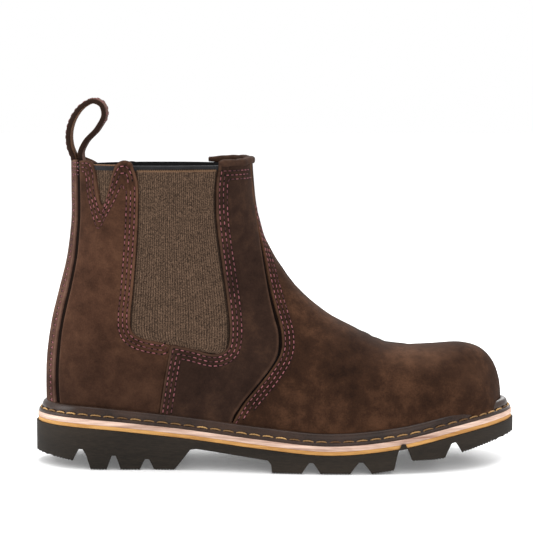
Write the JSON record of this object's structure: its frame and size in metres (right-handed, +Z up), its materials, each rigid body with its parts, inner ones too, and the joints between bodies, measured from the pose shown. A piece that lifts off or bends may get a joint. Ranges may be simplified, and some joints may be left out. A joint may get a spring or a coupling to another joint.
{
  "type": "work boot",
  "caption": "Right-foot slip-on leather work boot with a steel toe cap, elastic side gores, a rear pull loop and a thick welted, lugged rubber sole.",
  "frame": {"origin": "on the ground, under the centre of the boot's bounding box", "axes": "+X from heel to toe, +Y towards the inner (medial) side, +Z up"},
  "size_m": [0.3152, 0.1077, 0.238],
  "materials": {
    "sole_rubber": "charcoal black, finely buffed edges",
    "tan_midsole": "yellow-tan layered rubber, buffed",
    "beige_midsole": "pinkish beige leather board, buffed edge",
    "welt_brown": "dark brown, glossy burnished",
    "welt_thread": "waxed tan thread",
    "steel": "plain hardened steel",
    "cork": "ground cork",
    "canvas": "stitched canvas rib",
    "insole_board": "fibre board",
    "footbed": "black fabric over foam",
    "leather": "dark brown oiled nubuck, mottled",
    "elastic": "ribbed grey-brown elastic webbing",
    "lining": "black woven lining",
    "edge_strip": "soft plastic edging",
    "counter_board": "moulded stiffener board",
    "binding": "black woven tape",
    "strap": "brown nubuck strap with tan flesh side"
  },
  "bodies": {
    "boot": {"outsole": "sole_rubber", "lower_midsole": "tan_midsole", "midsole": "beige_midsole", "welt": "welt_brown", "welt_stitches": "welt_thread", "shank": "steel", "cork_filler": "cork", "insole_rib": "canvas", "insole_board": "insole_board", "vamp": "leather", "back_strip": "leather", "side_panel_lateral": "leather", "side_panel_medial": "leather", "back_quarter_lateral": "leather", "back_quarter_medial": "leather", "gore_lateral": "elastic", "gore_medial": "elastic", "notch_elastic_lateral": "elastic", "notch_elastic_medial": "elastic", "quarter_lining_lateral": "lining", "quarter_lining_medial": "lining", "foot_lining_lateral": "lining", "foot_lining_medial": "lining", "vamp_lining": "lining", "steel_toe_cap": "steel", "toe_cap_edge_strip": "edge_strip", "heel_counter": "counter_board", "collar_binding": "binding", "front_tab": "leather", "pull_loop_anchor": "strap"},
    "loop": {"pull_loop": "strap"},
    "footbed": {"footbed": "footbed"}
  },
  "joints": [
    {"name": "loop_flex", "type": "hinge", "parent": "boot", "child": "loop", "pos_m": [-0.1305, 0, 0.2022], "axis": [0, 1, 0], "range_deg": [-50, 45], "stiffness_Nm_per_rad": 0.05},
    {"name": "footbed_lift", "type": "hinge", "parent": "boot", "child": "footbed", "pos_m": [0.1412, 0, 0.0385], "axis": [0, 1, 0], "range_deg": [0, 9]}
  ]
}
